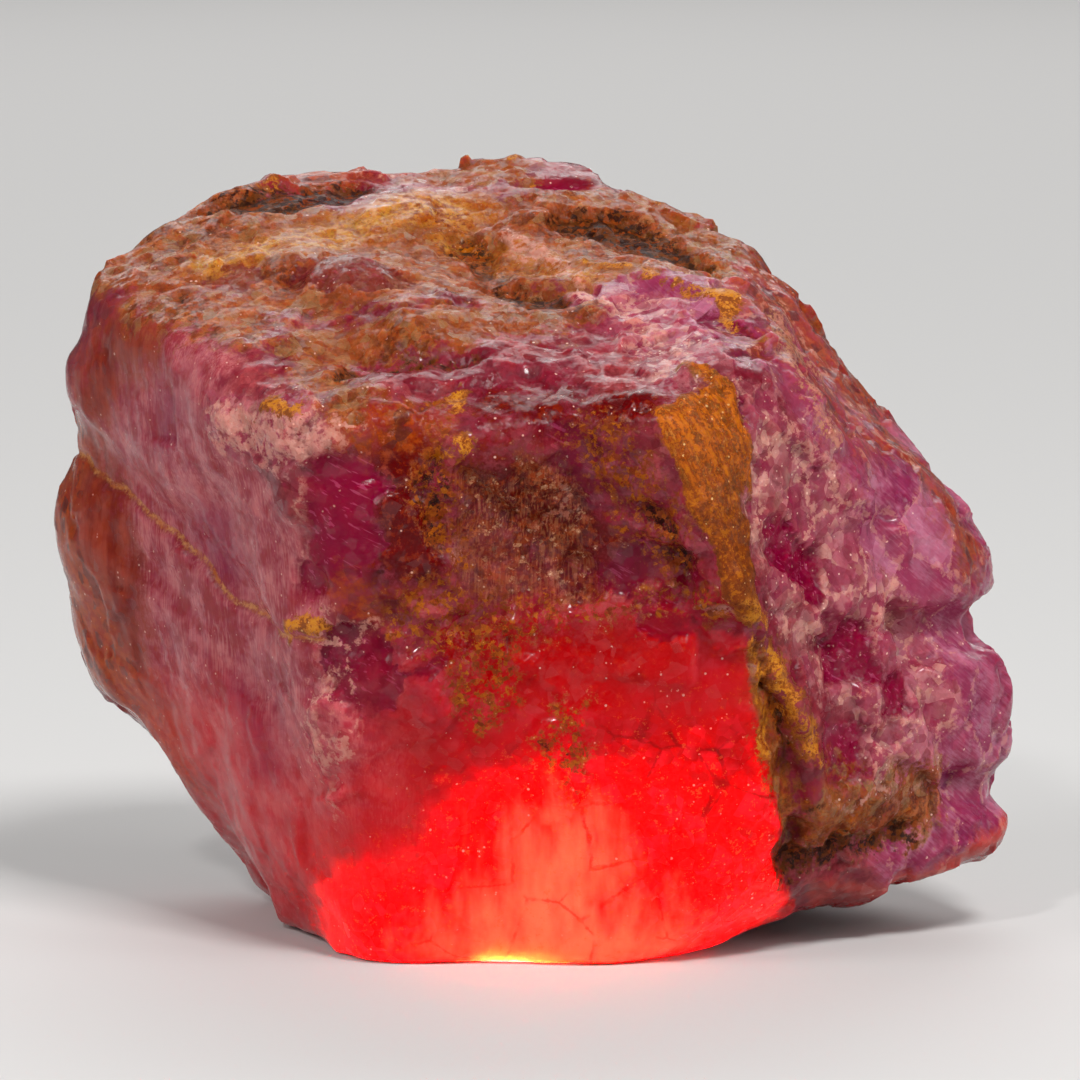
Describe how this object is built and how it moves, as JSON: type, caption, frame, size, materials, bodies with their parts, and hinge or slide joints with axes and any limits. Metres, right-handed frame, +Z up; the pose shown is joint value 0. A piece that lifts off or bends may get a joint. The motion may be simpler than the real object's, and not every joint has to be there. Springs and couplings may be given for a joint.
{
  "type": "raw ruby crystal",
  "caption": "Rough, uncut ruby crystal: a stubby six-sided corundum prism with worn edges, rusty hollows and seams, standing on a flat broken foot.",
  "frame": {"origin": "centre of the outline on the resting plane, under the middle of the stone", "axes": "+Z up, along the prism; +X to the stone's right, towards the broken lobed end; +Y to its back"},
  "size_m": [0.0216, 0.0168, 0.0171],
  "materials": {
    "ruby": "translucent purple-red corundum, waxy to glassy, with satin silk, mica flecks and rust-brown iron stains"
  },
  "bodies": {
    "root": {"ruby_crystal": "ruby"}
  },
  "joints": []
}
